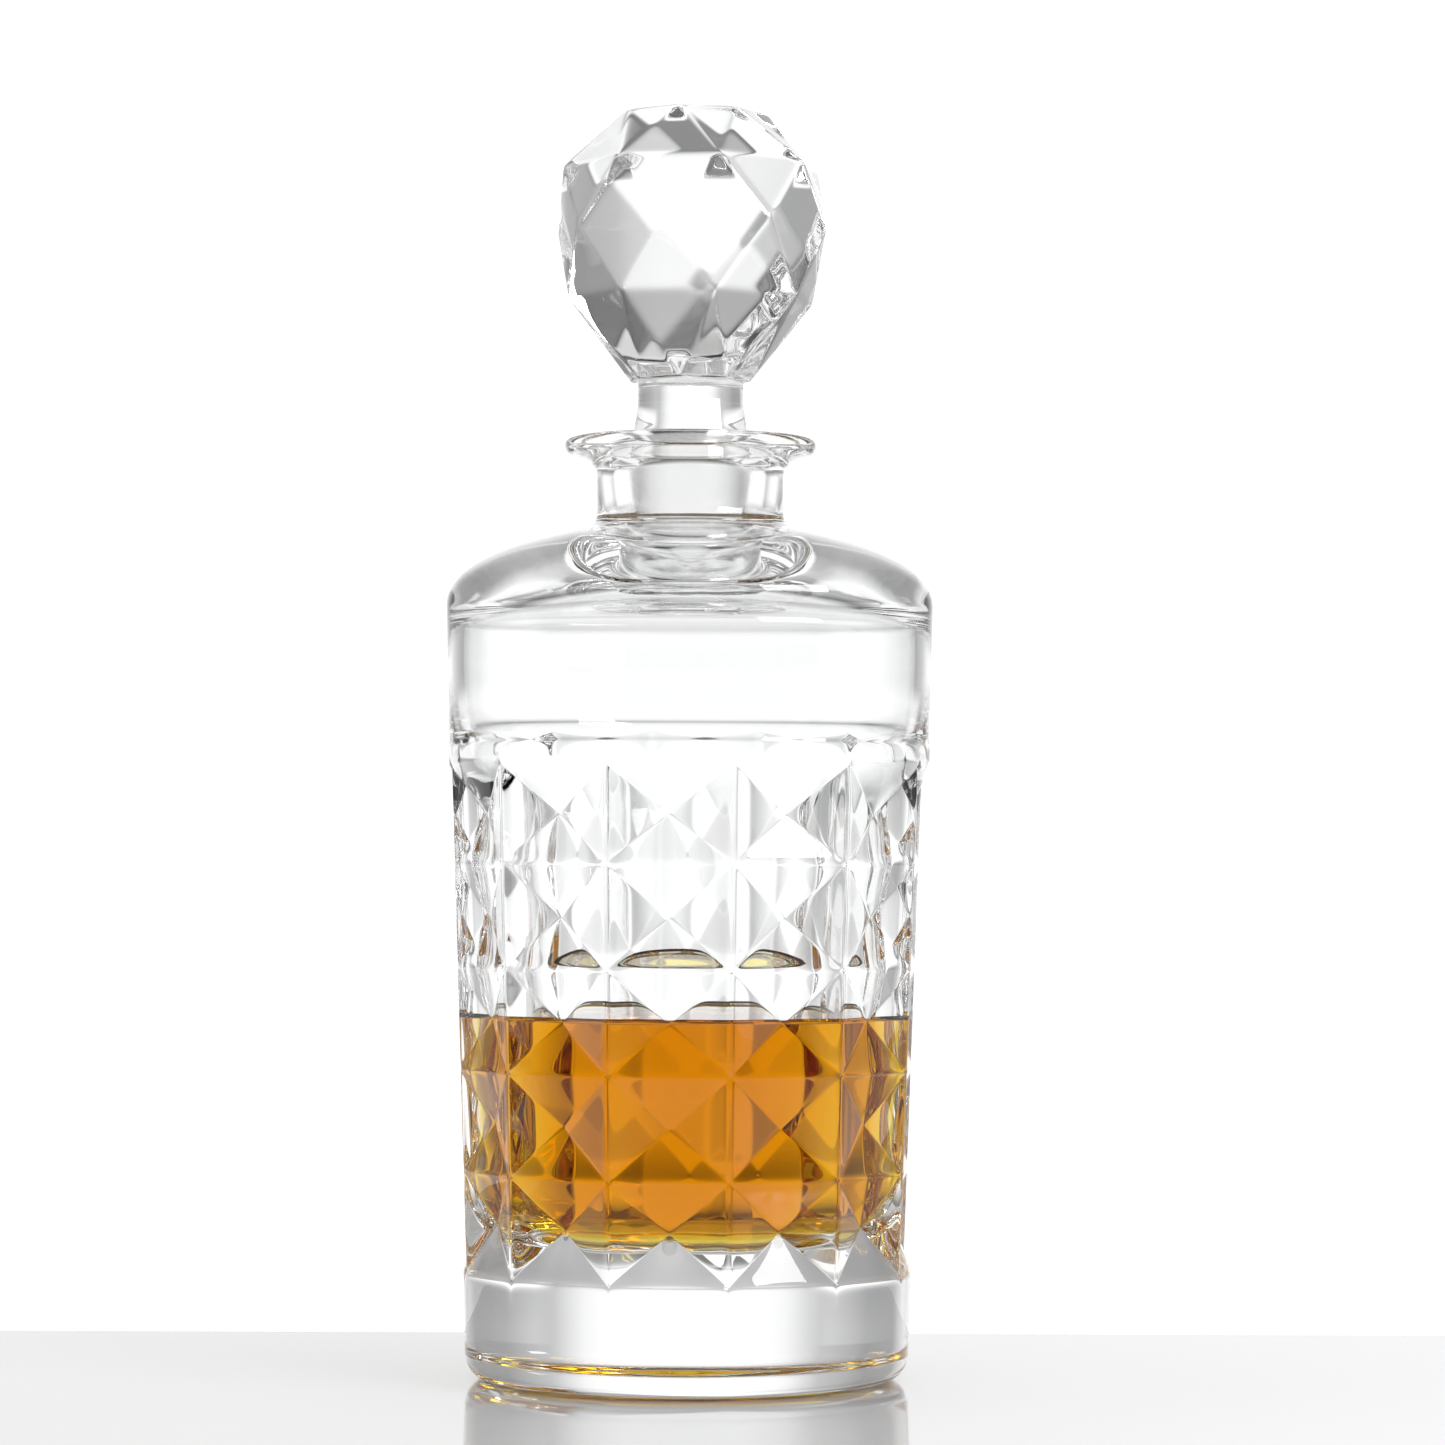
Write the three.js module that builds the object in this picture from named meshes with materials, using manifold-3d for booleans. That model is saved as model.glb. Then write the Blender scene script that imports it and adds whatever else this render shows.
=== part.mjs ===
// A cut crystal decanter in millimetres, +Z up, standing on z = 0 with its axis on the Z axis.
// It is three separate solids: the glass body with its diamond-cut band, the faceted ball
// stopper with its ground plug, and the whisky in the body. The middle of one column of cut
// cells faces -Y.
import * as THREE from 'three';
import { ConvexGeometry } from 'three/addons/geometries/ConvexGeometry.js';
import { mergeVertices } from 'three/addons/utils/BufferGeometryUtils.js';
import Module from 'manifold-3d';

// Outside of the body
const FOOT_RADIUS = 42;
const HEEL_RADIUS = 46.5;
const HEEL_HEIGHT = 6;
const CUT_FOOT = { radius: 47, height: 22.7 };
const CUT_LEDGE = { radius: 50.8, height: 132 };
const LEDGE_STEP = 0.6;
const SHOULDER = { radius: 51.25, height: 161.5, cornerHeight: 171.5 };
const SHOULDER_TOP = { radius: 27.3, height: 176.8 };
const NECK_RADIUS = 19.7;
const NECK_FOOT = { radius: 20.6, height: 178.7 };
const NECK_BOTTOM = 181;
const NECK_TOP = 190.6;
const LIP_RADIUS = 26.5;
const LIP_HEIGHT = 195.6;
const LIP_EDGE = 0.4;
const RIM_HEIGHT = 197;
const RIM_INSET = 1.2;

// Inside of the body
const FLOOR_HEIGHT = 28.5;
const FLOOR_CORNER = 14;
const INNER_FOOT_RADIUS = 39;
const INNER_CUT_TOP = { radius: 44.8, height: 124 };
const INNER_WALL_RADIUS = 47.6;
const INNER_WALL_BOTTOM = 140;
const INNER_WALL_TOP = 154;
const INNER_SHOULDER_HEIGHT = 169.8;
const INNER_SHOULDER_DROP = 2;
const BORE_RADIUS = 11.9;
const BORE_EDGE = 0.8;
const BORE_SEAT_BOTTOM = 180;
const SEAT_RADIUS = 13.3;
const MOUTH_DISH = { radius: 15.4, height: 192.6, curveRadius: 18.4, curveHeight: 193.4 };

// Diamond-cut band: columns and rows of square hollows, each a sunken four-sided pyramid of
// flat facets; the level ridges between rows run straight from corner to corner
const CUT_COLUMNS = 12;
const CUT_ROW_EDGES = [CUT_FOOT.height, 43.6, 64.7, 86, 107.5, 127.8];
const CUT_DEPTH = 4.3;
const RIDGE_WIDTH = 0.5;

// Stopper: rings of eight vertices, each ring turned half a step from the next
const BALL_SIDES = 8;
const BALL_TURN = -5.7;
const BALL_APEX = 269.3;
const BALL_RINGS = [
  { radius: 16.3, height: 265.5 },
  { radius: 27.7, height: 253.9 },
  { radius: 28.9, height: 240.8 },
  { radius: 26.4, height: 226.1 },
  { radius: 12.8, height: 209 },
];
const STEM_WAIST = { radius: 11.2, height: 205.4 };
const STEM_FOOT = { radius: 12.1, height: 198.4 };
const STEM_REACH = 1;
const PLUG_CLEARANCE = 0.35;
const PLUG_TOP = 191.4;
const PLUG_STEP = 1;
const PLUG_STUB_RADIUS = 11.2;
const PLUG_END_RADIUS = 10.2;
const PLUG_END = 166;
const PLUG_CHAMFER = 0.9;

// Whisky
const WHISKY_LEVEL = 75.7;
const WHISKY_GAP = 0.35;

const TURN_STEPS = 48;
const CORNER_STEPS = 5;

const wasm = await Module();
wasm.setup();

const glass = new THREE.MeshStandardMaterial({ color: 0xeef2f4, roughness: 0.03, metalness: 0 });
const stopperGlass = new THREE.MeshStandardMaterial({ color: 0xe9edf0, roughness: 0.05, metalness: 0 });
const amber = new THREE.MeshStandardMaterial({ color: 0xc9780a, roughness: 0.02, metalness: 0 });

// Outer radius of the cut band and the wall below it, a straight taper
function wallRadius(height) {
  const along = (height - CUT_FOOT.height) / (CUT_LEDGE.height - CUT_FOOT.height);
  return THREE.MathUtils.lerp(CUT_FOOT.radius, CUT_LEDGE.radius, along);
}

// Inner radius of the cavity beside the cut band
function cavityRadius(height) {
  const along = (height - FLOOR_HEIGHT) / (INNER_CUT_TOP.height - FLOOR_HEIGHT);
  return THREE.MathUtils.lerp(INNER_FOOT_RADIUS, INNER_CUT_TOP.radius, along);
}

// Turns an outline of radius and height about the Z axis, its first segment starting at -Y
function turned(outline) {
  return new THREE.LatheGeometry(outline.getPoints(CORNER_STEPS), TURN_STEPS).rotateX(Math.PI / 2);
}

function solidOf(geometry) {
  const bare = geometry.clone();
  bare.deleteAttribute('normal');
  bare.deleteAttribute('uv');
  const merged = mergeVertices(bare, 1e-4);
  return new wasm.Manifold(new wasm.Mesh({
    numProp: 3,
    vertProperties: new Float32Array(merged.attributes.position.array),
    triVerts: new Uint32Array(merged.index.array),
  }));
}

function geometryOf(solid) {
  const mesh = solid.getMesh();
  const geometry = new THREE.BufferGeometry();
  geometry.setAttribute('position', new THREE.BufferAttribute(mesh.vertProperties, 3));
  geometry.setIndex(new THREE.BufferAttribute(mesh.triVerts, 1));
  geometry.computeVertexNormals();
  return geometry;
}

// Point at an angle from -Y, in degrees, anticlockwise seen from above
function around(angle, radius, height) {
  const turn = THREE.MathUtils.degToRad(angle);
  return new THREE.Vector3(radius * Math.sin(turn), -radius * Math.cos(turn), height);
}

function bodyOutline() {
  const path = new THREE.Path();
  path.moveTo(0, 0);
  path.lineTo(FOOT_RADIUS, 0);
  path.quadraticCurveTo(HEEL_RADIUS, 0, HEEL_RADIUS, HEEL_HEIGHT);
  path.lineTo(CUT_FOOT.radius, CUT_FOOT.height);
  path.lineTo(CUT_LEDGE.radius, CUT_LEDGE.height);
  path.lineTo(CUT_LEDGE.radius - LEDGE_STEP, CUT_LEDGE.height + LEDGE_STEP);
  path.lineTo(SHOULDER.radius, SHOULDER.height);
  path.quadraticCurveTo(SHOULDER.radius, SHOULDER.cornerHeight, SHOULDER_TOP.radius, SHOULDER_TOP.height);
  path.lineTo(NECK_FOOT.radius, NECK_FOOT.height);
  path.lineTo(NECK_RADIUS, NECK_BOTTOM);
  path.lineTo(NECK_RADIUS, NECK_TOP);
  path.lineTo(LIP_RADIUS - LIP_EDGE, LIP_HEIGHT - LIP_EDGE);
  path.quadraticCurveTo(LIP_RADIUS + LIP_EDGE, RIM_HEIGHT - LIP_EDGE, LIP_RADIUS - RIM_INSET, RIM_HEIGHT);
  path.quadraticCurveTo(MOUTH_DISH.curveRadius, MOUTH_DISH.curveHeight, MOUTH_DISH.radius, MOUTH_DISH.height);
  path.lineTo(SEAT_RADIUS, NECK_TOP);
  path.lineTo(BORE_RADIUS, BORE_SEAT_BOTTOM);
  path.lineTo(BORE_RADIUS, INNER_SHOULDER_HEIGHT + BORE_EDGE);
  path.lineTo(BORE_RADIUS + BORE_EDGE, INNER_SHOULDER_HEIGHT);
  const shoulderCorner = INNER_SHOULDER_HEIGHT - INNER_SHOULDER_DROP;
  path.quadraticCurveTo(INNER_WALL_RADIUS, shoulderCorner, INNER_WALL_RADIUS, INNER_WALL_TOP);
  path.lineTo(INNER_WALL_RADIUS, INNER_WALL_BOTTOM);
  path.lineTo(INNER_CUT_TOP.radius, INNER_CUT_TOP.height);
  path.lineTo(cavityRadius(FLOOR_HEIGHT + FLOOR_CORNER), FLOOR_HEIGHT + FLOOR_CORNER);
  path.quadraticCurveTo(INNER_FOOT_RADIUS, FLOOR_HEIGHT, INNER_FOOT_RADIUS - FLOOR_CORNER, FLOOR_HEIGHT);
  path.lineTo(0, FLOOR_HEIGHT);
  return path;
}

// Cutter of one hollow: facets from the sunken point to the cell's edges, carried outward past
// the wall. An edge beside another row is straight, an edge at the rim of the band follows the
// round wall.
function cellCutter(angle, row) {
  const half = 180 / CUT_COLUMNS - THREE.MathUtils.radToDeg(RIDGE_WIDTH / 2 / CUT_LEDGE.radius);
  const step = 360 / TURN_STEPS;
  const straight = [-half, half];
  const round = [-half, -step, 0, step, half];
  const lowArc = row === 0 ? round : straight;
  const highArc = row === CUT_ROW_EDGES.length - 2 ? round : straight;
  const low = CUT_ROW_EDGES[row] + RIDGE_WIDTH / 2;
  const high = CUT_ROW_EDGES[row + 1] - RIDGE_WIDTH / 2;
  const rim = [
    ...lowArc.map((turn) => [angle + turn, low]),
    ...highArc.map((turn) => [angle - turn, high]),
  ];
  const middle = (low + high) / 2;
  const reach = CUT_DEPTH * 2;
  const points = [
    around(angle, wallRadius(middle) - CUT_DEPTH, middle),
    around(angle, wallRadius(middle) + reach, middle),
    ...rim.map(([turn, height]) => around(turn, wallRadius(height), height)),
    ...rim.map(([turn, height]) => around(turn, wallRadius(height) + reach, height)),
  ];
  const faces = [];
  for (let i = 0; i < rim.length; i += 1) {
    const near = 2 + i;
    const nearNext = 2 + (i + 1) % rim.length;
    const far = near + rim.length;
    const farNext = nearNext + rim.length;
    faces.push(0, nearNext, near);
    faces.push(near, nearNext, farNext);
    faces.push(near, farNext, far);
    faces.push(1, far, farNext);
  }
  const geometry = new THREE.BufferGeometry().setFromPoints(points);
  geometry.setIndex(faces);
  return solidOf(geometry);
}

// Ring that trims the wall between two rows to a straight ridge from corner to corner
function ridgeTrimmer(height) {
  const low = height - RIDGE_WIDTH / 2;
  const high = height + RIDGE_WIDTH / 2;
  const far = CUT_LEDGE.radius + CUT_DEPTH;
  const outline = [
    new THREE.Vector2(wallRadius(low), low),
    new THREE.Vector2(far, low),
    new THREE.Vector2(far, high),
    new THREE.Vector2(wallRadius(high), high),
    new THREE.Vector2(wallRadius(low), low),
  ];
  const ring = new THREE.LatheGeometry(outline, CUT_COLUMNS, Math.PI / CUT_COLUMNS);
  return solidOf(ring.rotateX(Math.PI / 2));
}

function bodyGeometry() {
  let body = solidOf(turned(bodyOutline()));
  for (const height of CUT_ROW_EDGES.slice(1, -1)) {
    body = body.subtract(ridgeTrimmer(height));
  }
  for (let column = 0; column < CUT_COLUMNS; column += 1) {
    for (let row = 0; row < CUT_ROW_EDGES.length - 1; row += 1) {
      body = body.subtract(cellCutter(column * 360 / CUT_COLUMNS, row));
    }
  }
  return geometryOf(body);
}

function ballGeometry() {
  const points = [around(0, 0, BALL_APEX)];
  const step = 360 / BALL_SIDES;
  BALL_RINGS.forEach((ring, index) => {
    const stagger = index % 2 === 0 ? 0 : step / 2;
    for (let side = 0; side < BALL_SIDES; side += 1) {
      points.push(around(BALL_TURN + stagger + side * step, ring.radius, ring.height));
    }
  });
  return new ConvexGeometry(points);
}

// Stem, ground plug and its plain end, reaching up into the ball
function stemGeometry() {
  const lowestRing = BALL_RINGS[BALL_RINGS.length - 1];
  const path = new THREE.Path();
  path.moveTo(0, PLUG_END);
  path.lineTo(PLUG_END_RADIUS, PLUG_END);
  path.lineTo(PLUG_STUB_RADIUS, PLUG_END + PLUG_CHAMFER);
  path.lineTo(PLUG_STUB_RADIUS, BORE_SEAT_BOTTOM - PLUG_STEP);
  path.lineTo(BORE_RADIUS - PLUG_CLEARANCE, BORE_SEAT_BOTTOM);
  path.lineTo(SEAT_RADIUS - PLUG_CLEARANCE, NECK_TOP);
  path.lineTo(SEAT_RADIUS - PLUG_CLEARANCE, PLUG_TOP);
  path.lineTo(STEM_FOOT.radius, STEM_FOOT.height);
  path.lineTo(STEM_WAIST.radius, STEM_WAIST.height);
  path.lineTo(STEM_WAIST.radius, lowestRing.height + STEM_REACH);
  path.lineTo(0, lowestRing.height + STEM_REACH);
  return turned(path);
}

function stopperGeometry() {
  return geometryOf(solidOf(ballGeometry()).add(solidOf(stemGeometry())));
}

function whiskyGeometry() {
  const floor = FLOOR_HEIGHT + WHISKY_GAP;
  const corner = cavityRadius(floor + FLOOR_CORNER) - WHISKY_GAP;
  const path = new THREE.Path();
  path.moveTo(0, floor);
  path.lineTo(INNER_FOOT_RADIUS - WHISKY_GAP - FLOOR_CORNER, floor);
  path.quadraticCurveTo(INNER_FOOT_RADIUS - WHISKY_GAP, floor, corner, floor + FLOOR_CORNER);
  path.lineTo(cavityRadius(WHISKY_LEVEL) - WHISKY_GAP, WHISKY_LEVEL);
  path.lineTo(0, WHISKY_LEVEL);
  return turned(path);
}

function piece(name, geometry, material) {
  const mesh = new THREE.Mesh(geometry, material);
  mesh.name = name;
  return mesh;
}

const decanter = new THREE.Group();
decanter.add(piece('decanter_body', bodyGeometry(), glass));
decanter.add(piece('stopper', stopperGeometry(), stopperGlass));
decanter.add(piece('whisky', whiskyGeometry(), amber));

export default decanter;
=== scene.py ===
"""Looks of the cut crystal decanter: the glass body with its cut cells, the faceted ball
stopper, the whisky, a plain glossy table and soft studio light. Metres, +Z up. Outlines are
worked out in millimetres."""
import math

import bmesh
import bpy
import numpy as np
from mathutils import Matrix, Vector


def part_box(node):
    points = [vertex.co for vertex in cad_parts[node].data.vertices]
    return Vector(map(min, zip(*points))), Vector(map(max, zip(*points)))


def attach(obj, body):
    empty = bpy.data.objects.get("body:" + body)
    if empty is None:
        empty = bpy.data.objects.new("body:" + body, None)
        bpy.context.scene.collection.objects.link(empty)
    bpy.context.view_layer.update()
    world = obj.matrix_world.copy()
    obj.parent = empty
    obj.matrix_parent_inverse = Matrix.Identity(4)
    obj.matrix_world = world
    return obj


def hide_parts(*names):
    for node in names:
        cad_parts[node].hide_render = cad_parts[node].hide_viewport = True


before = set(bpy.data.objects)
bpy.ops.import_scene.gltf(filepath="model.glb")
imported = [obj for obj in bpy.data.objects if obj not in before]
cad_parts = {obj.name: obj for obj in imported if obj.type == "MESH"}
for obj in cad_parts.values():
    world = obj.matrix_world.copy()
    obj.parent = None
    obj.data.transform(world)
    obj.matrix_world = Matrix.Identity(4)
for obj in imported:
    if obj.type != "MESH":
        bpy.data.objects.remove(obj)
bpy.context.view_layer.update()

MM = 0.001

# Driving sizes, in millimetres, from the frame
BODY_HIGH = np.array(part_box("decanter_body")[1]) / MM
STOPPER_LOW, STOPPER_HIGH = (np.array(corner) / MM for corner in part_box("stopper"))
WHISKY_LOW, WHISKY_HIGH = (np.array(corner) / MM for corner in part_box("whisky"))
BODY_RADIUS = BODY_HIGH[0]
RIM_HEIGHT = BODY_HIGH[2]
WHISKY_LEVEL = WHISKY_HIGH[2]
BALL_APEX = STOPPER_HIGH[2]
PLUG_END = STOPPER_LOW[2]

# Cut band: columns and rows of square hollows, each a sunken four-sided pyramid
COLUMNS = 12
ROW_EDGES = [22.7, 43.6, 64.7, 86.0, 107.5, 127.8]
FOOT_WALL = (47.0, 22.7)
LEDGE_WALL = (50.8, 132.0)
CUT_DEPTH = 4.3

# Rounding of the ridges and creases, in millimetres, and the slopes of the facets beside them
RIDGE_SOFTNESS = 0.75
CREASE_SOFTNESS = 0.25
UPRIGHT_SLOPE = 0.51
LEVEL_SLOPE = 0.25
CREASE_SLOPE = 0.16
CREASE_RUN_OUT = 6 * CREASE_SOFTNESS

# Plain wall beside the band in which the ridges run out, and the distances of its rows
EDGE_FADE = 2.5
EDGE_DISTANCES = [0.0, 0.15, 0.35, 0.6, 0.9, 1.3, 1.8, EDGE_FADE]

# Outside of the glass, as (radius, height): foot, ledge over the band, shoulder, neck and lip
HUB = 4.0
FOOT_FLAT = (41.0, 0.0)
HEEL_CORNER = (46.45, 0.0)
HEEL = (46.5, 6.0)
LEDGE_EDGE = (LEDGE_WALL[0] - 0.15, LEDGE_WALL[1] + 0.5)
LEDGE_CORNER = (LEDGE_WALL[0] - 0.35, LEDGE_WALL[1] + 1.2)
LEDGE_TOP = (LEDGE_WALL[0] - 0.3, LEDGE_WALL[1] + 2.5)
SHOULDER = (BODY_RADIUS, 161.5)
SHOULDER_CORNER = (BODY_RADIUS, 171.5)
SHOULDER_TOP = (27.3, 176.8)
NECK = 19.7
NECK_FILLET = [(22.0, 178.1), (20.5, 178.5), (19.9, 180.0), (NECK, 181.5)]
NECK_TOP = [(NECK, 189.4), (NECK, 190.8), (NECK + 1.4, 191.6)]
LIP = 26.5
LIP_SIDE = [(LIP - 1.6, 193.5), (LIP, 194.2), (LIP, 195.6)]
LIP_TOP = [(LIP, RIM_HEIGHT), (LIP - 1.5, RIM_HEIGHT)]

# Inside of the glass, from the mouth down to the floor
MOUTH = [(LIP - 5.0, 196.2), (15.6, 192.8), (14.0, 191.8)]
SEAT = 13.3
SEAT_TOP = 190.4
SEAT_BOTTOM = 180.0
BORE = 11.9
INNER_SHOULDER = 169.8
BORE_EDGE = [(BORE, INNER_SHOULDER + 1.6), (BORE, INNER_SHOULDER), (BORE + 1.8, INNER_SHOULDER - 0.1)]
INNER_WALL = BODY_RADIUS - 3.65
INNER_SHOULDER_CORNER = (INNER_WALL, INNER_SHOULDER - 1.6)
INNER_WALL_TOP = (INNER_WALL, 156.0)
INNER_WALL_BEND = [(INNER_WALL, 142.0), (46.2, 134.0), (45.1, 128.0)]
CAVITY_TOP = (44.8, 124.0)
CAVITY_FOOT = 39.0
FLOOR = WHISKY_LOW[2] - 0.35
FLOOR_CORNER = 14.0

# Stopper
BALL_SIDES = 8
BALL_TURN = -5.7
BALL_RINGS = [(16.3, 265.5), (27.7, 253.9), (28.9, 240.8), (26.4, 226.1), (12.8, 209.0)]
BALL_MIDDLE = 240.0
BALL_SHARPNESS = 240
BALL_POINTS_AROUND = 320
BALL_POINTS_DOWN = 161
PLUG = 11.2
PLUG_FLAT = 9.6
PLUG_CHAMFER = 1.4
PLUG_GAP = 0.3
PLUG_STEP = [(PLUG, SEAT_BOTTOM - 1.5), (PLUG, SEAT_BOTTOM - 0.4), (BORE - PLUG_GAP, SEAT_BOTTOM + 0.3)]
PLUG_TOP = [(SEAT - PLUG_GAP, SEAT_TOP), (SEAT - 0.25, 191.6), (SEAT - 0.6, 192.6)]
STEM_START = 3.0
STEM_FOOT = [(12.2, 196.5), (12.1, 198.4)]
STEM_WAIST = [(11.2, 203.0), (11.2, 205.4)]
STEM_TOP = (11.2, 210.0)
STEM_POINTS_AROUND = 128

# Whisky: how far its skin lies inside the glass, how far its rim climbs the wall, and how wide
# the curved rim is
SKIN = 0.06
CLIMB = 0.6
MENISCUS = 2.5
MENISCUS_CORNER = 0.3

# Where other materials begin and end: the ground joint and the wet part of the cavity
JOINT_INNER = BORE - 0.6
JOINT_OUTER = SEAT + 0.1
WET_BOTTOM = FLOOR - 0.1

# Distance in millimetres under which points are one, and angle under which facets are one
MERGE = 0.001
FLATNESS = math.radians(1)

# Shares of half a cell's side, from its middle to its corner, closer together at the corner
SIDE_STEPS = [0.0, 0.2, 0.4, 0.58, 0.72, 0.83, 0.905, 0.955, 0.985, 1.0]
# Shares of the way from a cell's sunken point to its edge
RING_STEPS = [0.015, 0.04, 0.09, 0.16, 0.26, 0.38, 0.52, 0.66, 0.78, 0.86, 0.91, 0.945, 0.97, 0.988, 1.0]


def line(start, end, steps):
    """Points after start up to end."""
    return [tuple(np.array(start) + (np.array(end) - start) * i / steps) for i in range(1, steps + 1)]


def bend(start, corner, end, steps):
    """Points after start on the curve to end that a corner point pulls on."""
    points = []
    for i in range(1, steps + 1):
        t = i / steps
        weights = ((1 - t) ** 2, 2 * t * (1 - t), t * t)
        points.append(tuple(sum(w * np.array(p) for w, p in zip(weights, (start, corner, end)))))
    return points


def path(start, *legs):
    """Outline of radius and height from legs: (end, steps) is straight, (corner, end, steps) a
    curve."""
    points = [start]
    for *stops, steps in legs:
        if len(stops) == 1:
            points += line(points[-1], stops[0], steps)
        else:
            points += bend(points[-1], *stops, steps)
    return points


def side_shares():
    """Shares across a whole side of a cell, from -1 to 1."""
    return sorted({-s for s in SIDE_STEPS} | set(SIDE_STEPS))


def column_turns():
    """Angles from -Y, in radians, of the points around: cell corners and points between."""
    half = math.pi / COLUMNS
    turns = []
    for column in range(COLUMNS):
        turns += [2 * half * column + half * share for share in side_shares()[:-1]]
    return np.array(turns)


def around(turn, radius, height):
    """Points at angles from -Y, in radians, at radii and heights."""
    turn, radius, height = np.broadcast_arrays(turn, radius, height)
    return np.stack([radius * np.sin(turn), -radius * np.cos(turn), height], -1)


def wall_radius(height):
    """Outer radius of the cut band at its ridges, a straight taper."""
    share = (height - FOOT_WALL[1]) / (LEDGE_WALL[1] - FOOT_WALL[1])
    return FOOT_WALL[0] + (LEDGE_WALL[0] - FOOT_WALL[0]) * share


def cavity_radius(height):
    """Inner radius of the glass beside the cut band, a straight taper."""
    share = (height - FLOOR) / (CAVITY_TOP[1] - FLOOR)
    return CAVITY_FOOT + (CAVITY_TOP[0] - CAVITY_FOOT) * share


def cavity_outline(spread=0.0):
    """Inner wall from the top of the cut band down to the rounded corner and the floor, moved
    outward by the spread."""
    bottom = FLOOR + FLOOR_CORNER
    return path(
        (CAVITY_TOP[0] + spread, CAVITY_TOP[1]), ((cavity_radius(bottom) + spread, bottom), 60),
        ((CAVITY_FOOT + spread, FLOOR - spread), (CAVITY_FOOT - FLOOR_CORNER, FLOOR - spread), 24),
        ((HUB, FLOOR - spread), 6))


def softened(distance, softness):
    """How far a rounded edge stands off its sharp one, for a slope of one."""
    return np.sqrt(distance ** 2 + softness ** 2) - distance


def edge_drop(to_upright, to_level):
    """How far rounding lowers the surface near the upright and the level ridges."""
    return (UPRIGHT_SLOPE * softened(to_upright, RIDGE_SOFTNESS)
            + LEVEL_SLOPE * softened(to_level, RIDGE_SOFTNESS))


def band_edge_rows(turns, height, direction):
    """Rows of plain wall beside the cut band, where the rounded ridges run out."""
    across = np.abs((turns * COLUMNS / (2 * math.pi) + 0.5) % 1 - 0.5) * 2
    to_upright = wall_radius(height) * math.pi / COLUMNS * (1 - across)
    rows = []
    for distance in EDGE_DISTANCES:
        fade = (1 - distance / EDGE_FADE) ** 2
        level = height + direction * distance
        rows.append(around(turns, wall_radius(level) - fade * edge_drop(to_upright, distance), level))
    return rows


class Surface:
    """Points and faces of a mesh that is put together from rows and patches."""

    def __init__(self):
        self.points = []
        self.faces = []

    def grid(self, rows):
        """Faces between rows of points; each row closes on itself."""
        base = len(self.points)
        count = len(rows[0])
        self.points += [tuple(p) for row in rows for p in row]
        for r in range(len(rows) - 1):
            for i in range(count):
                j = (i + 1) % count
                low, high = base + r * count, base + (r + 1) * count
                self.faces.append((low + i, low + j, high + j, high + i))

    def fan(self, first, row, flipped=False):
        """Faces from a row, whose first point has the number first, to the axis at its height."""
        tip = len(self.points)
        count = len(row)
        self.points.append((0.0, 0.0, row[0][2]))
        for i in range(count):
            pair = (first + i, first + (i + 1) % count)
            self.faces.append((tip, *pair[::-1]) if flipped else (tip, *pair))

    def stacked(self, rows, closed_start=False, closed_end=False):
        """Faces between rows, closed with a fan at the first or the last row."""
        base = len(self.points)
        self.grid(rows)
        if closed_start:
            self.fan(base, rows[0], flipped=True)
        if closed_end:
            self.fan(base + (len(rows) - 1) * len(rows[0]), rows[-1])

    def turned(self, outline, turns):
        """An outline turned about the axis, closed at both ends."""
        rows = [around(turns, radius, height) for radius, height in outline]
        self.stacked(rows, closed_start=True, closed_end=True)

    def mesh(self, name):
        """Smooth mesh in metres with its doubled points merged and its faces turned outward."""
        data = bpy.data.meshes.new(name)
        data.from_pydata([tuple(c * MM for c in p) for p in self.points], [], self.faces)
        work = bmesh.new()
        work.from_mesh(data)
        bmesh.ops.remove_doubles(work, verts=work.verts, dist=MERGE * MM)
        bmesh.ops.recalc_face_normals(work, faces=work.faces)
        for face in work.faces:
            face.smooth = True
        work.to_mesh(data)
        work.free()
        return data


def piece(name, data, body, node, slot, *materials):
    """An object that rides on a body and takes the place of a node."""
    obj = bpy.data.objects.new(name, data)
    bpy.context.scene.collection.objects.link(obj)
    for material in materials:
        data.materials.append(material)
    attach(obj, body)
    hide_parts(node)
    return obj


# --- body ---------------------------------------------------------------------------------


def cell_edge():
    """Shares across and up, from -1 to 1, of the points along the four sides of a cell."""
    shares = np.array(side_shares())[:-1]
    ones = np.ones_like(shares)
    across = np.concatenate([shares, ones, -shares, -ones])
    up = np.concatenate([-ones, shares, ones, -shares])
    return across, up


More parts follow.
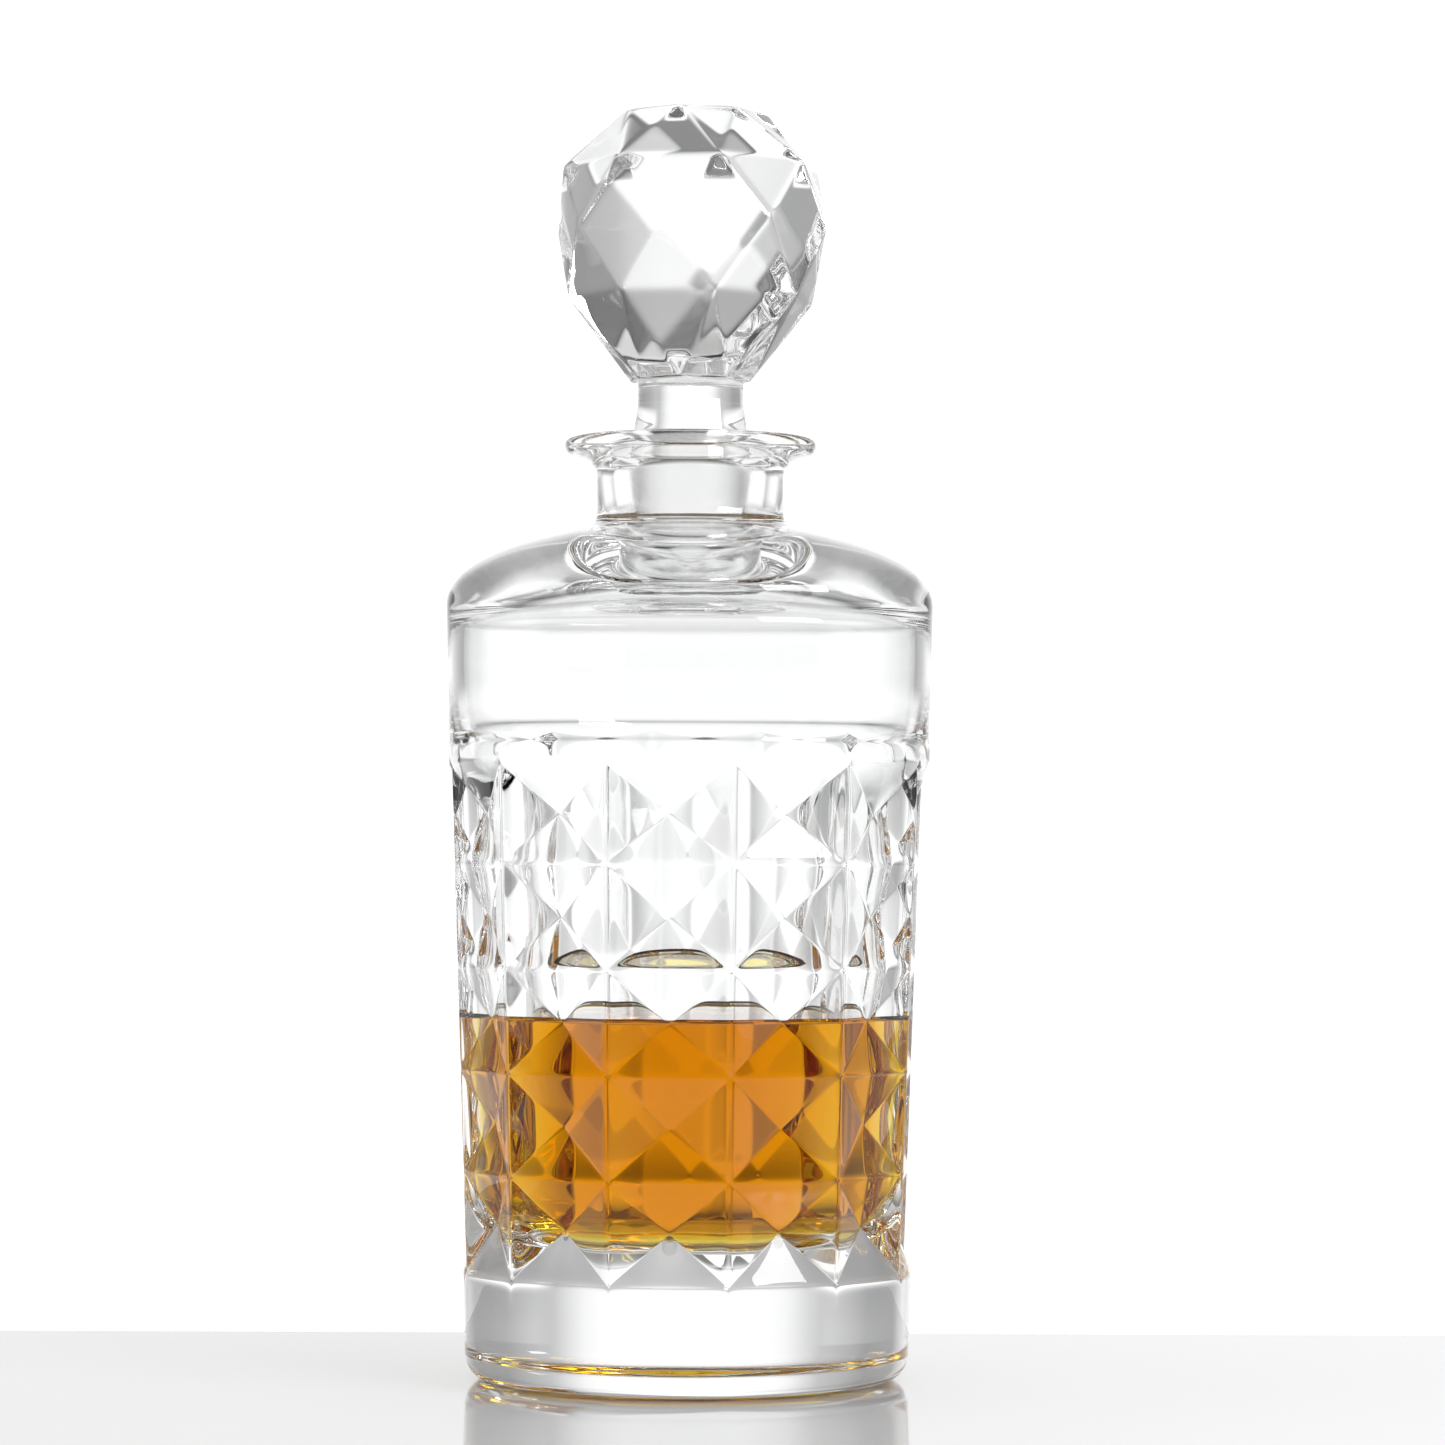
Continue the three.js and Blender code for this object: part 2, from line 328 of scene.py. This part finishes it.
def add_cell(surface, column, row):
    """One hollow: facets from the sunken point to each side, with soft ridges and creases. A
    level side beside another row is straight, one at the rim of the band is round."""
    bottom, top = ROW_EDGES[row], ROW_EDGES[row + 1]
    middle, half_height = (bottom + top) / 2, (top - bottom) / 2
    half_turn = math.pi / COLUMNS
    half_width = wall_radius(middle) * half_turn
    turn = 2 * half_turn * column
    sunk = around(turn, wall_radius(middle) - CUT_DEPTH, middle)
    across, up = cell_edge()
    heights = middle + up * half_height
    edge = around(turn + across * half_turn, wall_radius(heights), heights)
    left = around(turn - half_turn, wall_radius(heights), heights)
    right = around(turn + half_turn, wall_radius(heights), heights)
    chord = (left + right) / 2 + across[:, None] * (right - left) / 2
    if row > 0:
        edge[up == -1] = chord[up == -1]
    if row < len(ROW_EDGES) - 2:
        edge[up == 1] = chord[up == 1]
    crease_scale = half_width * half_height / math.hypot(half_width, half_height)
    rings = []
    for share in RING_STEPS:
        points = sunk + share * (edge - sunk)
        to_upright = half_width * (1 - share * np.abs(across))
        to_level = half_height * (1 - share * np.abs(up))
        to_crease = share * np.abs(np.abs(across) - np.abs(up)) * crease_scale
        nearest = np.minimum(to_upright, to_level)
        shift = CREASE_SLOPE * softened(to_crease, CREASE_SOFTNESS)
        shift = shift * np.clip(nearest / CREASE_RUN_OUT, 0, 1)
        shift -= edge_drop(to_upright, to_level)
        flat = points[:, :2]
        points[:, :2] = flat * (1 + shift / np.linalg.norm(flat, axis=1))[:, None]
        rings.append(points)
    base = len(surface.points)
    surface.grid(rings)
    tip = len(surface.points)
    shift = CREASE_SLOPE * CREASE_SOFTNESS
    surface.points.append(tuple(around(turn, wall_radius(middle) - CUT_DEPTH + shift, middle)))
    count = len(across)
    for i in range(count):
        surface.faces.append((tip, base + i, base + (i + 1) % count))


def body_mesh():
    """The glass body: foot, cut band, shoulder, neck, lip, bore and cavity in one closed skin."""
    surface = Surface()
    turns = column_turns()
    bottom_edge, top_edge = ROW_EDGES[0], ROW_EDGES[-1]
    band_foot = bottom_edge - EDGE_FADE
    foot = path(
        (HUB, 0.0), (FOOT_FLAT, 6), (HEEL_CORNER, HEEL, 16), ((wall_radius(band_foot), band_foot), 5))
    rows = [around(turns, radius, height) for radius, height in foot[:-1]]
    surface.stacked(rows + band_edge_rows(turns, bottom_edge, -1)[::-1], closed_start=True)
    for column in range(COLUMNS):
        for row in range(len(ROW_EDGES) - 1):
            add_cell(surface, column, row)
    upper = path(
        (wall_radius(top_edge + EDGE_FADE), top_edge + EDGE_FADE),
        (LEDGE_WALL, LEDGE_EDGE, 5), (LEDGE_CORNER, LEDGE_TOP, 5),
        (SHOULDER, 8), (SHOULDER_CORNER, SHOULDER_TOP, 28),
        (NECK_FILLET[0], 3), (NECK_FILLET[1], NECK_FILLET[2], 6), (NECK_FILLET[3], 2),
        (NECK_TOP[0], 4), (NECK_TOP[1], NECK_TOP[2], 6),
        (LIP_SIDE[0], 3), (LIP_SIDE[1], LIP_SIDE[2], 7), (LIP_TOP[0], LIP_TOP[1], 7),
        (MOUTH[0], MOUTH[1], 10), (MOUTH[2], (SEAT, SEAT_TOP), 5), ((BORE, SEAT_BOTTOM), 6),
        (BORE_EDGE[0], 3), (BORE_EDGE[1], BORE_EDGE[2], 6),
        (INNER_SHOULDER_CORNER, INNER_WALL_TOP, 28),
        (INNER_WALL_BEND[0], INNER_WALL_BEND[1], 12), (INNER_WALL_BEND[2], CAVITY_TOP, 10))
    rows = band_edge_rows(turns, top_edge, 1)[:-1]
    rows += [around(turns, radius, height) for radius, height in upper + cavity_outline()[1:]]
    surface.stacked(rows, closed_end=True)
    return surface.mesh("decanter_glass")


# --- stopper ------------------------------------------------------------------------------


def ball_planes():
    """Facets of the ball, the hull of its staggered rings: unit normals over their distances."""
    work = bmesh.new()
    work.verts.new((0.0, 0.0, BALL_APEX))
    step = 2 * math.pi / BALL_SIDES
    for index, (radius, height) in enumerate(BALL_RINGS):
        for side in range(BALL_SIDES):
            turn = math.radians(BALL_TURN) + step * (side + 0.5 * (index % 2))
            work.verts.new(around(turn, radius, height))
    bmesh.ops.convex_hull(work, input=work.verts)
    bmesh.ops.dissolve_limit(work, angle_limit=FLATNESS, verts=work.verts, edges=work.edges)
    bmesh.ops.recalc_face_normals(work, faces=work.faces)
    middle = Vector((0, 0, BALL_MIDDLE))
    planes = [face.normal / face.normal.dot(face.verts[0].co - middle) for face in work.faces]
    work.free()
    return np.array(planes)


def ball_mesh():
    """Faceted ball whose facets swell a little and meet in rounded edges."""
    planes = ball_planes()
    turns = np.linspace(0, 2 * math.pi, BALL_POINTS_AROUND + 1)[:-1]
    rows = []
    for tilt in np.linspace(0, math.pi, BALL_POINTS_DOWN + 1)[1:-1]:
        way = around(turns, math.sin(tilt), math.cos(tilt))
        nearness = np.clip(way @ planes.T, 0, None)
        nearest = nearness.max(1)
        spread = ((nearness / nearest[:, None]) ** BALL_SHARPNESS).sum(1)
        reach = spread ** (-1 / BALL_SHARPNESS) / nearest
        rows.append(way * reach[:, None] + (0, 0, BALL_MIDDLE))
    surface = Surface()
    surface.stacked(rows, closed_start=True, closed_end=True)
    return surface.mesh("ball")


def stem_mesh():
    """Plug, ground joint and waisted stem, reaching up into the ball."""
    surface = Surface()
    turns = np.linspace(0, 2 * math.pi, STEM_POINTS_AROUND + 1)[:-1]
    outline = path(
        (STEM_START, PLUG_END), ((PLUG_FLAT, PLUG_END), 1),
        ((PLUG, PLUG_END), (PLUG, PLUG_END + PLUG_CHAMFER), 8),
        (PLUG_STEP[0], 4), (PLUG_STEP[1], PLUG_STEP[2], 4),
        (PLUG_TOP[0], 6), (PLUG_TOP[1], PLUG_TOP[2], 5),
        (STEM_FOOT[0], STEM_FOOT[1], 5), (STEM_WAIST[0], STEM_WAIST[1], 10), (STEM_TOP, 3))
    surface.turned(outline, turns)
    return surface.mesh("stem")


def stopper_mesh():
    """Ball and stem joined in one closed skin."""
    ball = bpy.data.objects.new("ball_work", ball_mesh())
    stem = bpy.data.objects.new("stem_work", stem_mesh())
    for obj in (ball, stem):
        bpy.context.scene.collection.objects.link(obj)
    union = ball.modifiers.new("join", "BOOLEAN")
    union.operation = "UNION"
    union.solver = "EXACT"
    union.object = stem
    view = bpy.context.evaluated_depsgraph_get()
    data = bpy.data.meshes.new_from_object(ball.evaluated_get(view))
    data.materials.clear()
    for obj in (ball, stem):
        bpy.data.objects.remove(obj)
    return data


# --- whisky -------------------------------------------------------------------------------


def whisky_mesh():
    """The fill: its skin lies a hair inside the glass, so light passes from glass to whisky."""
    surface = Surface()
    rim = cavity_radius(WHISKY_LEVEL)
    edge = (cavity_radius(WHISKY_LEVEL + CLIMB) + SKIN, WHISKY_LEVEL + CLIMB)
    top = path(
        (HUB, WHISKY_LEVEL), ((rim - MENISCUS, WHISKY_LEVEL), 6),
        ((rim - MENISCUS_CORNER, WHISKY_LEVEL), edge, 8))
    wall = [point for point in cavity_outline(SKIN) if point[1] < WHISKY_LEVEL]
    surface.turned(top + wall, column_turns())
    return surface.mesh("whisky_fill")


# --- materials ----------------------------------------------------------------------------

GLASS_IOR = 1.54
WHISKY_IOR = 1.36
WHISKY_COLOUR = (0.967, 0.887, 0.0, 1.0)
WHISKY_DENSITY = 172.0
WET_MIRROR = 0.05
CRYSTAL_TINT = (0.985, 0.99, 0.99)
STOPPER_TINT = (0.98, 0.985, 0.985)
GROUND_TINT = (0.97, 0.97, 0.97)
TABLE_COLOUR = (0.8, 0.8, 0.81, 1.0)
NOISE_SPREAD = (0.35, 0.65)
MARK_SCALE = 90.0
RIPPLE_SCALE = 45.0
RIPPLE_DEPTH = 0.0004
WHISKY_SCALE = 60.0
WHISKY_ROUGHNESS = (0.0, 0.004)
TABLE_SCALE = 6.0
TABLE_ROUGHNESS = (0.04, 0.06)


def new_material(name):
    """A material with its nodes, its links and its shader."""
    material = bpy.data.materials.new(name)
    material.use_nodes = True
    nodes = material.node_tree.nodes
    return material, nodes, material.node_tree.links, nodes["Principled BSDF"]


def fine_noise(nodes, links, scale, levels=(0.0, 1.0), detail=3.0):
    """A value between two levels that changes slowly over the surface, and the bare noise."""
    coords = nodes.new("ShaderNodeTexCoord")
    noise = nodes.new("ShaderNodeTexNoise")
    noise.inputs["Scale"].default_value = scale
    noise.inputs["Detail"].default_value = detail
    spread = nodes.new("ShaderNodeMapRange")
    spread.inputs["From Min"].default_value, spread.inputs["From Max"].default_value = NOISE_SPREAD
    spread.inputs["To Min"].default_value, spread.inputs["To Max"].default_value = levels
    links.new(coords.outputs["Object"], noise.inputs["Vector"])
    links.new(noise.outputs["Fac"], spread.inputs["Value"])
    return spread.outputs["Result"], noise.outputs["Fac"]


def glass_material(name, tint, roughness, ripple, mirror=1.0):
    """Crystal with faint handling marks in its gloss and a trace of ripple from the mould. Mirror
    is the share of its face-on reflection that is left, which is small where the glass is wet."""
    material, nodes, links, shader = new_material(name)
    shader.inputs["Specular Tint"].default_value = (mirror, mirror, mirror, 1.0)
    shader.inputs["Base Color"].default_value = (*tint, 1.0)
    shader.inputs["Transmission Weight"].default_value = 1.0
    shader.inputs["IOR"].default_value = GLASS_IOR
    rough, _ = fine_noise(nodes, links, MARK_SCALE, roughness)
    links.new(rough, shader.inputs["Roughness"])
    _, wave = fine_noise(nodes, links, RIPPLE_SCALE, detail=1.0)
    bump = nodes.new("ShaderNodeBump")
    bump.inputs["Strength"].default_value = ripple
    bump.inputs["Distance"].default_value = RIPPLE_DEPTH
    links.new(wave, bump.inputs["Height"])
    links.new(bump.outputs["Normal"], shader.inputs["Normal"])
    return material


def place_material(data, index, low, high, inner, outer):
    """Gives one of the materials to the faces between two heights and two radii."""
    for face in data.polygons:
        x, y, z = (c / MM for c in face.center)
        if low < z < high and inner < math.hypot(x, y) < outer:
            face.material_index = index


def whisky_material():
    """Clear liquid that takes its colour from its depth."""
    material, nodes, links, shader = new_material("whisky")
    shader.inputs["Base Color"].default_value = (1.0, 1.0, 1.0, 1.0)
    shader.inputs["Transmission Weight"].default_value = 1.0
    shader.inputs["IOR"].default_value = WHISKY_IOR
    shader.inputs["Specular Tint"].default_value = (WET_MIRROR, WET_MIRROR, WET_MIRROR, 1.0)
    rough, _ = fine_noise(nodes, links, WHISKY_SCALE, WHISKY_ROUGHNESS)
    links.new(rough, shader.inputs["Roughness"])
    depth = nodes.new("ShaderNodeVolumeAbsorption")
    depth.inputs["Color"].default_value = WHISKY_COLOUR
    depth.inputs["Density"].default_value = WHISKY_DENSITY
    links.new(depth.outputs["Volume"], nodes["Material Output"].inputs["Volume"])
    return material


def table_material():
    """Pale grey gloss."""
    material, nodes, links, shader = new_material("table_gloss")
    shader.inputs["Base Color"].default_value = TABLE_COLOUR
    rough, _ = fine_noise(nodes, links, TABLE_SCALE, TABLE_ROUGHNESS)
    links.new(rough, shader.inputs["Roughness"])
    return material


# --- set ----------------------------------------------------------------------------------

# Camera, table and softbox, with lengths in metres and turns in degrees from -Y
CAMERA_TURN = 4.7
CAMERA_DISTANCE = 0.977
CAMERA_HEIGHT = 0.1084
AIM_ASIDE = 0.0070
AIM_HEIGHT = 0.1373
CAMERA_ROLL = 0.24
LENS = 115.6

TABLE_WIDTH = 1.6
TABLE_FRONT = 1.3
TABLE_BEHIND = 0.094
TABLE_THICKNESS = 0.02
TABLE_EDGE = 0.002
TABLE_GAP = 0.0002

SOFTBOX_TURN = CAMERA_TURN + 51
SOFTBOX_DISTANCE = 0.6
SOFTBOX_HEIGHT = 0.395
SOFTBOX_AIM = 0.075
SOFTBOX_SIZE = (0.36, 0.18)
SOFTBOX_POWER = 2.0

# Grey levels of the surroundings. By bearing, in degrees anticlockwise from +Y seen from above:
# white panels behind and at the sides with dimmer gaps between them, and a dark room in front
ROOM = 0.04
PANELS = [
    (-180, ROOM), (-112, ROOM), (-98, 0.8), (-80, 0.8), (-60, 0.35), (-38, 0.3), (-22, 0.5), (-14, 0.85),
    (-6, 1.0), (15, 1.0), (23, 0.85), (31, 0.5), (47, 0.3), (64, 0.35), (78, 1.0), (102, 1.0), (112, ROOM),
    (180, ROOM)]
# By the height of the line of sight, from -1 straight down to 1 straight up: how the panels fade
# upward, the light from the ceiling, and the dim gap under the panel behind
PANEL_FADE = [(-1, 1), (0.22, 1), (0.34, 0.85), (0.5, 0.4), (0.75, 0.12), (1, 0.08)]
CEILING = [(-1, 0), (0.7, 0), (0.82, 0.7), (1, 0.7)]
LOW_GAP = [(-1, 1), (-0.55, 1), (-0.46, 0.18), (-0.34, 0.18), (-0.17, 0.85), (-0.11, 1), (1, 1)]
# White surroundings below the level of the table, but not behind the decanter
BELOW = [(-1, 1), (-0.12, 1), (-0.05, 0), (1, 0)]
BELOW_BEARINGS = [(-180, 1), (-27, 1), (-21, 0), (28, 0), (34, 1), (180, 1)]
BELOW_COLOUR = (0.95, 0.95, 0.95, 1.0)
SURROUNDINGS_STRENGTH = 1.2

LIGHT_BOUNCES = 32
MIRROR_BOUNCES = 16

# Colour sockets of a mix node: the two inputs and the output
FIRST_COLOUR, SECOND_COLOUR, MIXED_COLOUR = 6, 7, 2


def add_camera():
    """A little higher than the whisky, looking slightly up."""
    turn = math.radians(CAMERA_TURN)
    place = Vector((math.sin(turn), -math.cos(turn), 0)) * CAMERA_DISTANCE
    place.z = CAMERA_HEIGHT
    aim = Vector((math.cos(turn), math.sin(turn), 0)) * AIM_ASIDE
    aim.z = AIM_HEIGHT
    data = bpy.data.cameras.new("camera")
    data.lens = LENS
    camera = bpy.data.objects.new("camera", data)
    bpy.context.scene.collection.objects.link(camera)
    facing = (aim - place).to_track_quat("-Z", "Y").to_matrix().to_4x4()
    roll = Matrix.Rotation(math.radians(CAMERA_ROLL), 4, "Z")
    camera.matrix_world = Matrix.Translation(place) @ facing @ roll
    bpy.context.scene.camera = camera


def add_table():
    """A slab whose back edge is a hand's width behind the decanter. A film of air under the foot
    keeps the underside of the glass bright."""
    turn = math.radians(CAMERA_TURN)
    size = (TABLE_WIDTH, TABLE_FRONT + TABLE_BEHIND, TABLE_THICKNESS)
    middle = (0, (TABLE_BEHIND - TABLE_FRONT) / 2, -TABLE_THICKNESS / 2 - TABLE_GAP)
    data = bpy.data.meshes.new("table")
    work = bmesh.new()
    bmesh.ops.create_cube(work, size=1.0)
    bmesh.ops.scale(work, vec=size, verts=work.verts)
    bmesh.ops.translate(work, vec=middle, verts=work.verts)
    bmesh.ops.rotate(work, cent=(0, 0, 0), matrix=Matrix.Rotation(turn, 3, "Z"), verts=work.verts)
    bmesh.ops.bevel(work, geom=list(work.edges), offset=TABLE_EDGE, segments=3, affect="EDGES")
    work.to_mesh(data)
    work.free()
    table = bpy.data.objects.new("table", data)
    bpy.context.scene.collection.objects.link(table)
    data.materials.append(table_material())


def ramp(nodes, links, value, stops):
    """Grey levels read off stops of (value, level)."""
    low, high = stops[0][0], stops[-1][0]
    shift = nodes.new("ShaderNodeMapRange")
    shift.inputs["From Min"].default_value = low
    shift.inputs["From Max"].default_value = high
    colours = nodes.new("ShaderNodeValToRGB")
    elements = colours.color_ramp.elements
    places = [(place - low) / (high - low) for place, _ in stops]
    elements[0].position, elements[1].position = places[0], places[-1]
    for place in places[1:-1]:
        elements.new(place)
    for element, (_, level) in zip(elements, stops):
        element.color = (level, level, level, 1.0)
    links.new(value, shift.inputs["Value"])
    links.new(shift.outputs["Result"], colours.inputs["Fac"])
    return colours.outputs["Color"]


def maths(nodes, links, operation, *values):
    """Result of a maths node whose inputs are numbers or the outputs of other nodes."""
    node = nodes.new("ShaderNodeMath")
    node.operation = operation
    for socket, value in zip(node.inputs, values):
        if isinstance(value, float):
            socket.default_value = value
        else:
            links.new(value, socket)
    return node.outputs["Value"]


def blended(nodes, links, blend, first, second):
    """Two colours blended in full."""
    node = nodes.new("ShaderNodeMix")
    node.data_type = "RGBA"
    node.blend_type = blend
    node.inputs["Factor"].default_value = 1.0
    links.new(first, node.inputs[FIRST_COLOUR])
    links.new(second, node.inputs[SECOND_COLOUR])
    return node.outputs[MIXED_COLOUR]


def add_world():
    """White backdrop panels behind and beside the decanter, a ceiling light and a dim room."""
    world = bpy.data.worlds.new("studio")
    bpy.context.scene.world = world
    world.use_nodes = True
    nodes, links = world.node_tree.nodes, world.node_tree.links
    coords = nodes.new("ShaderNodeTexCoord")
    split = nodes.new("ShaderNodeSeparateXYZ")
    links.new(coords.outputs["Generated"], split.inputs["Vector"])
    height = split.outputs["Z"]
    leftward = maths(nodes, links, "MULTIPLY", split.outputs["X"], -1.0)
    angle = maths(nodes, links, "ARCTAN2", leftward, split.outputs["Y"])
    bearing = maths(nodes, links, "DEGREES", angle)
    panels = ramp(nodes, links, bearing, PANELS)
    faded = blended(nodes, links, "MULTIPLY", panels, ramp(nodes, links, height, PANEL_FADE))
    around_it = blended(nodes, links, "MULTIPLY", faded, ramp(nodes, links, height, LOW_GAP))
    beside = ramp(nodes, links, bearing, BELOW_BEARINGS)
    below = maths(nodes, links, "MULTIPLY", beside, ramp(nodes, links, height, BELOW))
    whole = nodes.new("ShaderNodeMix")
    whole.data_type = "RGBA"
    links.new(below, whole.inputs["Factor"])
    links.new(around_it, whole.inputs[FIRST_COLOUR])
    whole.inputs[SECOND_COLOUR].default_value = BELOW_COLOUR
    lit = blended(nodes, links, "ADD", whole.outputs[MIXED_COLOUR], ramp(nodes, links, height, CEILING))
    links.new(lit, nodes["Background"].inputs["Color"])
    nodes["Background"].inputs["Strength"].default_value = SURROUNDINGS_STRENGTH


def add_softbox():
    """Key light: a soft panel in front on the right, mirrored by the rising facets only."""
    turn = math.radians(SOFTBOX_TURN)
    place = Vector((math.sin(turn) * SOFTBOX_DISTANCE, -math.cos(turn) * SOFTBOX_DISTANCE, SOFTBOX_HEIGHT))
    data = bpy.data.lights.new("softbox", "AREA")
    data.shape = "RECTANGLE"
    data.size, data.size_y = SOFTBOX_SIZE
    data.energy = SOFTBOX_POWER
    light = bpy.data.objects.new("softbox", data)
    light.location = place
    light.rotation_euler = (place - Vector((0, 0, SOFTBOX_AIM))).to_track_quat("Z", "Y").to_euler()
    bpy.context.scene.collection.objects.link(light)


def main():
    """The three pieces with their materials, and the set around them."""
    clear = glass_material("crystal", CRYSTAL_TINT, roughness=(0.0, 0.012), ripple=0.03)
    ball_glass = glass_material("stopper_crystal", STOPPER_TINT, roughness=(0.0, 0.015), ripple=0.05)
    ground_glass = glass_material("ground_glass", GROUND_TINT, roughness=(0.1, 0.16), ripple=0.12)
    wet_glass = glass_material(
        "wet_crystal", CRYSTAL_TINT, roughness=(0.0, 0.004), ripple=0.0, mirror=WET_MIRROR)
    body = piece(
        "decanter_glass", body_mesh(), "decanter", "decanter_body", "body_glass",
        clear, ground_glass, wet_glass)
    stopper = piece(
        "ball_stopper", stopper_mesh(), "stopper", "stopper", "stopper_glass", ball_glass, ground_glass)
    for obj in (body, stopper):
        place_material(obj.data, 1, SEAT_BOTTOM, SEAT_TOP, JOINT_INNER, JOINT_OUTER)
    place_material(body.data, 2, WET_BOTTOM, WHISKY_LEVEL, 0, cavity_radius(WHISKY_LEVEL))
    piece("whisky_fill", whisky_mesh(), "decanter", "whisky", "whisky", whisky_material())
    add_camera()
    add_table()
    add_world()
    add_softbox()
    scene = bpy.context.scene
    scene.view_settings.view_transform = "Standard"
    scene.cycles.max_bounces = LIGHT_BOUNCES
    scene.cycles.transmission_bounces = LIGHT_BOUNCES
    scene.cycles.glossy_bounces = MIRROR_BOUNCES
    scene.cycles.volume_bounces = 0
    scene.cycles.caustics_refractive = True
    scene.cycles.caustics_reflective = True


main()
